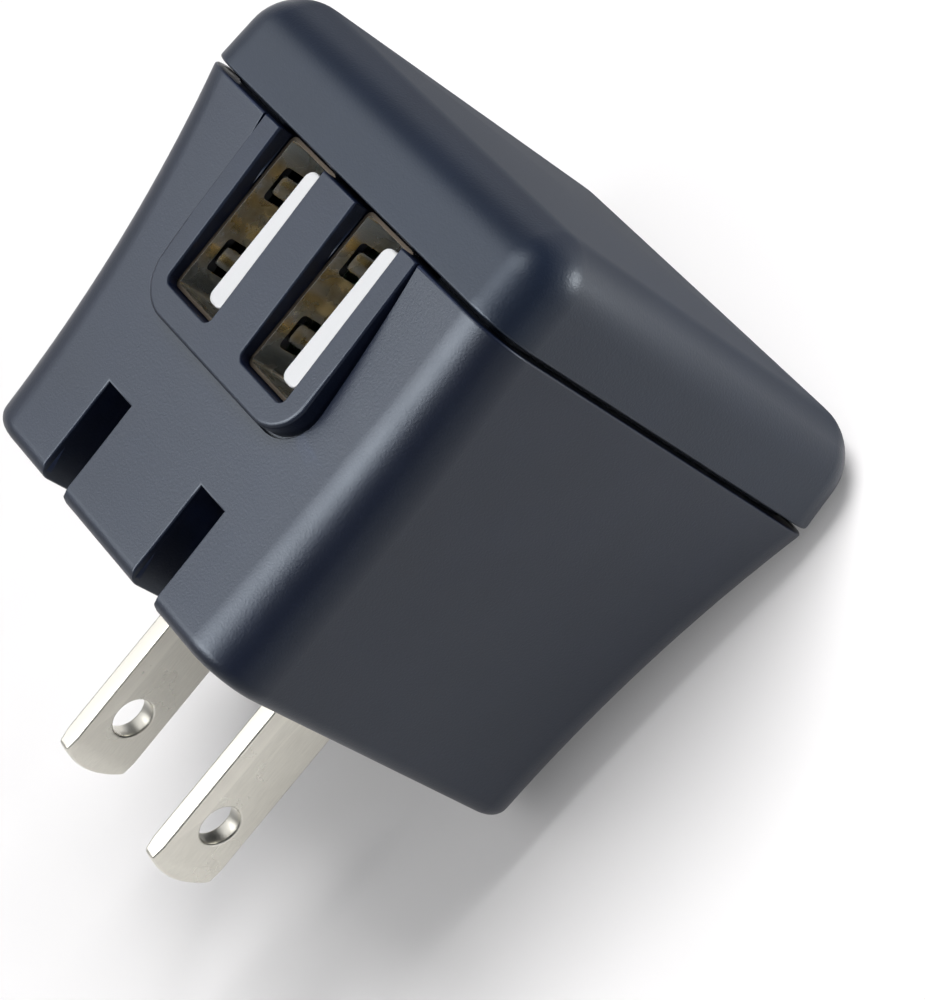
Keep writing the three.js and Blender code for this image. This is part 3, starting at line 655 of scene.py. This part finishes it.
def blade(x, name):
    half_width = BLADE["width"] / 2
    sag = BLADE["length"] - BLADE["shoulder"]
    nose = (half_width ** 2 + sag ** 2) / (2 * sag)
    sweep = math.asin(half_width / nose)
    taper_start = BLADE["length"] - BLADE_TIP["taper"]
    outline = arc(PIVOT["y"], PIVOT["z"], half_width, math.pi / 2, 1.5 * math.pi, 24)
    outline += arc(BLADE["length"] - nose, PIVOT["z"], nose, -sweep, sweep, 20)
    half = BLADE["thick"] / 2
    piece = prism(name, outline, (x - half, x + half), "x")
    for y, radius in ((BLADE_HOLE["from_face"], BLADE_HOLE["radius"]), (PIVOT["y"], SHAFT_HOLE)):
        combine(piece, "DIFFERENCE", disc("hole", (y, PIVOT["z"]), radius, (x - 2, x + 2), "x", 64))
    past_tip = BLADE["length"] + 0.1
    for side in (-1, 1):
        wedge = [(x + side * (half + 0.002), taper_start), (x + side * BLADE_TIP["thin"], past_tip),
                 (x + side * 3, past_tip), (x + side * 3, taper_start)]
        combine(piece, "DIFFERENCE", prism("wedge", wedge, (PIVOT["z"] - 5, PIVOT["z"] + 5), "z"))
    return soften(piece, BLADE_EDGE, 3, 40)


# ---------------------------------------------------------------- USB ports


def spring_tab(x, side, y):
    """A tongue cut from the shell wall: it dips inward near its free end and lifts at the tip."""
    wall = x + side * (SHELL["half_x"] - SHELL["sheet"] / 2)
    root, tip = WINDOW["back"] - 0.3, TAB["front"]
    steps = 24
    lip_start = 1 - TAB["lip"] / (tip - root)
    line = []
    for i in range(steps + 1):
        s = i / steps
        dip = TAB["dip"] * math.sin(min(s / lip_start, 1.0) * math.pi / 2) ** 2
        lift = TAB["lift"] * max(s - lip_start, 0.0) / (1 - lip_start)
        line.append((wall - side * (dip - lift), root + (tip - root) * s))
    half = TAB["sheet"] / 2
    across = (y - TAB["width"] / 2, y + TAB["width"] / 2)
    outline = [(u - half, v) for u, v in line] + [(u + half, v) for u, v in reversed(line)]
    face = rounded(across, (root - 3, tip), TAB["corner"], 6)
    return combine(prism("tab", outline, across, "y"), "INTERSECT",
                   prism("tab_face", face, (wall - 2, wall + 2), "x"))


def usb_shell(x, name):
    back = SHELL["front"] - SHELL["depth"]
    across = (x - SHELL["half_x"], x + SHELL["half_x"])
    sheet = SHELL["sheet"]
    piece = prism(name, rounded(across, (SHELL["y0"], SHELL["y1"]), SHELL["corner"], 8),
                  (back, SHELL["front"]), "z")
    room = rounded((across[0] + sheet, across[1] - sheet), (SHELL["y0"] + sheet, SHELL["y1"] - sheet),
                   SHELL["corner"] - sheet, 8)
    combine(piece, "DIFFERENCE", prism("room", room, (back + sheet, SHELL["front"] + 1), "z"))
    window_half = WINDOW["width"] / 2
    for y in WINDOW_PLACES:
        outline = rounded((y - window_half, y + window_half), (WINDOW["back"], WINDOW["front"]),
                          WINDOW["corner"], 6)
        combine(piece, "DIFFERENCE", prism("window", outline, (x - 4, x + 4), "x"))
        combine(piece, "UNION", *[spring_tab(x, side, y) for side in (-1, 1)])
    return soften(piece, 0.05, 2, 40)


def usb_tongue(x, name):
    room = 0.15
    back = SHELL["front"] - SHELL["depth"] + SHELL["sheet"] + room
    inner = SHELL["half_x"] - SHELL["sheet"] - room
    outline = rounded((x + TONGUE["x0"], x + TONGUE["x1"]),
                      (MIDDLE_Y - TONGUE["half_y"], MIDDLE_Y + TONGUE["half_y"]), TONGUE["corner"], 8)
    piece = prism(name, outline, (back, TONGUE["front"]), "z")
    base = box("base", (x - inner, x + inner),
               (SHELL["y0"] + SHELL["sheet"] + room, SHELL["y1"] - SHELL["sheet"] - room),
               (back - HAIR, back + TONGUE["base"]))
    combine(piece, "UNION", base)
    for offset in CONTACT_WAYS["places"]:
        y = MIDDLE_Y + offset
        half = CONTACT_WAYS["width"] / 2
        way = box("way", (x + TONGUE["x1"] + 0.02, x + TONGUE["x1"] + CONTACT_WAYS["depth"]),
                  (y - half, y + half), (back - 1, back + TONGUE["base"] + 1))
        combine(piece, "DIFFERENCE", way)
    return soften(piece, 0.16, 3, 40, lambda p: 1.0 if p.z > back + TONGUE["base"] + 1 else 0.3)


# ---------------------------------------------------------------- the pieces that replace CAD nodes

finish(main_housing(), housing_plastic, "charger_body", "housing_plastic", "main_housing")
finish(end_cap(), cap_plastic, "charger_body", "housing_plastic", "end_cap")
for side, sign in (("left", 1), ("right", -1)):
    finish(blade(sign * BLADE["pitch"] / 2, f"plug_blade_{side}"), blade_nickel,
           "folding_blades", "blade_nickel", f"blade_{side}")
    finish(usb_shell(sign * PORT["pitch"] / 2, f"port_shell_{side}"), port_shell_metal,
           "charger_body", "port_shell_metal", f"usb_shell_{side}")
    finish(usb_tongue(sign * PORT["pitch"] / 2, f"port_tongue_{side}"), port_insulator,
           "charger_body", "port_insulator", f"usb_tongue_{side}")

# ---------------------------------------------------------------- finishes of the CAD nodes

FINISHES = {
    "blade_rocker": black_moulding, "rocker_retainer": black_moulding,
    "transformer_bobbin": black_moulding,
    "detent_spring": spring_steel, "blade_contact": spring_bronze, "usb_contact": contact_gold,
    "link_pin": contact_gold, "main_board": board_laminate, "usb_board": board_laminate,
    "transformer_core": ferrite, "filter_choke": ferrite, "transformer_winding": taped_winding,
    "input_capacitor": capacitor_sleeve, "output_capacitor": capacitor_sleeve,
    "fusible_resistor": resistor_coating, "safety_capacitor": blue_ceramic,
    "bridge_rectifier": chip_package, "optocoupler": chip_package,
    "primary_controller": chip_package, "output_diode": chip_package,
    "port_controller": chip_package, "insulation_sheet": insulating_film,
    "live_wire": red_wire, "neutral_wire": black_wire,
}

for name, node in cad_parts.items():
    for start, material in FINISHES.items():
        if name.startswith(start):
            for material_slot in node.material_slots:
                material_slot.material = material

# ---------------------------------------------------------------- floor, light and camera


def pale_floor():
    half = 2.5
    mesh = bpy.data.meshes.new("studio_floor")
    corners = [(-half, -half, 0), (half, -half, 0), (half, half, 0), (-half, half, 0)]
    mesh.from_pydata(corners, [], [(0, 1, 2, 3)])
    floor = bpy.data.objects.new("studio_floor", mesh)
    floor.location.z = cad_bounds[0][2]
    bpy.context.scene.collection.objects.link(floor)
    recipe = Recipe("studio_paper")
    paper = recipe.ramp(recipe.noise(60.0), (0.3, (0.62, 0.61, 0.61)), (0.7, (0.64, 0.63, 0.63)))
    recipe.colour(paper)
    recipe.roughness(recipe.noise(8.0), 0.8, 0.9)
    recipe.shader.inputs["Emission Color"].default_value = (1, 1, 1, 1)
    recipe.shader.inputs["Emission Strength"].default_value = 0.08
    mesh.materials.append(recipe.material)


def soft_light(name, direction, distance, size, power, aim=None):
    """A soft box, wide by long, that looks at a point of the object from a direction."""
    light = bpy.data.lights.new(name, "AREA")
    light.shape = "RECTANGLE"
    light.size, light.size_y = size
    light.energy = power
    holder = bpy.data.objects.new(name, light)
    towards = Vector(direction).normalized()
    holder.location = (aim or AIM) + towards * distance
    holder.rotation_euler = towards.to_track_quat("Z", "Y").to_euler()
    bpy.context.scene.collection.objects.link(holder)
    return holder


AIM = to_frame((-4.841, -16.038, -3.847))
CAMERA = {"azimuth": -77.85, "elevation": 48.42, "roll": -59.64, "distance": 0.28718, "lens": 150.88}


def photo_camera():
    data = bpy.data.cameras.new("camera")
    data.lens = CAMERA["lens"]
    data.sensor_width = 36.0
    data.clip_start = 0.01
    data.clip_end = 20.0
    holder = bpy.data.objects.new("camera", data)
    elevation = math.radians(CAMERA["elevation"])
    azimuth = math.radians(CAMERA["azimuth"])
    turn = (Matrix.Rotation(azimuth, 4, "Z") @ Matrix.Rotation(math.pi / 2 - elevation, 4, "X")
            @ Matrix.Rotation(math.radians(CAMERA["roll"]), 4, "Z"))
    back_off = Matrix.Translation((0, 0, CAMERA["distance"]))
    holder.matrix_world = Matrix.Translation(AIM) @ turn @ back_off
    bpy.context.scene.collection.objects.link(holder)
    bpy.context.scene.camera = holder


def studio():
    """A pale horizon, lamps that cast the shadow, and cards that only the case reflects."""
    world = bpy.data.worlds.new("studio")
    world.use_nodes = True
    nodes, links = world.node_tree.nodes, world.node_tree.links
    height = nodes.new("ShaderNodeSeparateXYZ")
    links.new(nodes.new("ShaderNodeTexCoord").outputs["Generated"], height.inputs["Vector"])
    fade = nodes.new("ShaderNodeValToRGB")
    fade.color_ramp.elements[0].position = 0.08
    fade.color_ramp.elements[0].color = (0.85, 0.87, 0.90, 1)
    fade.color_ramp.elements[1].position = 0.40
    fade.color_ramp.elements[1].color = (0.05, 0.053, 0.06, 1)
    links.new(height.outputs["Z"], fade.inputs["Fac"])
    links.new(fade.outputs["Color"], nodes["Background"].inputs["Color"])
    bpy.context.scene.world = world
    bpy.context.scene.view_settings.view_transform = "Standard"
    lamps = [
        soft_light("key_light", (0.10, -0.48, 0.87), 0.5, (0.24, 0.24), 3.5),
        soft_light("fill_light", (-0.30, 0.20, 0.93), 0.5, (0.50, 0.50), 1.1),
    ]
    for lamp in lamps:
        lamp.visible_glossy = False
    cards = [
        soft_light("crest_card", (0.20, -0.30, 0.93), 0.5, (0.26, 0.26), 1.2),
        soft_light("front_card", (0.66, 0.03, 0.74), 0.5, (0.38, 0.38), 0.90),
        soft_light("wash_card", (0.38, 0.42, 0.82), 0.5, (0.22, 0.34), 1.9),
        soft_light("band_card", (0.05, 0.48, 0.88), 0.5, (0.22, 0.26), 1.9),
    ]
    for card in cards:
        card.visible_diffuse = False
    corner = to_frame((-18.1, -34.4, 16.3))
    soft_light("spark_light", (-0.531, -0.72, -0.446), 0.05, (0.014, 0.014), 0.014, corner)


pale_floor()
studio()
photo_camera()
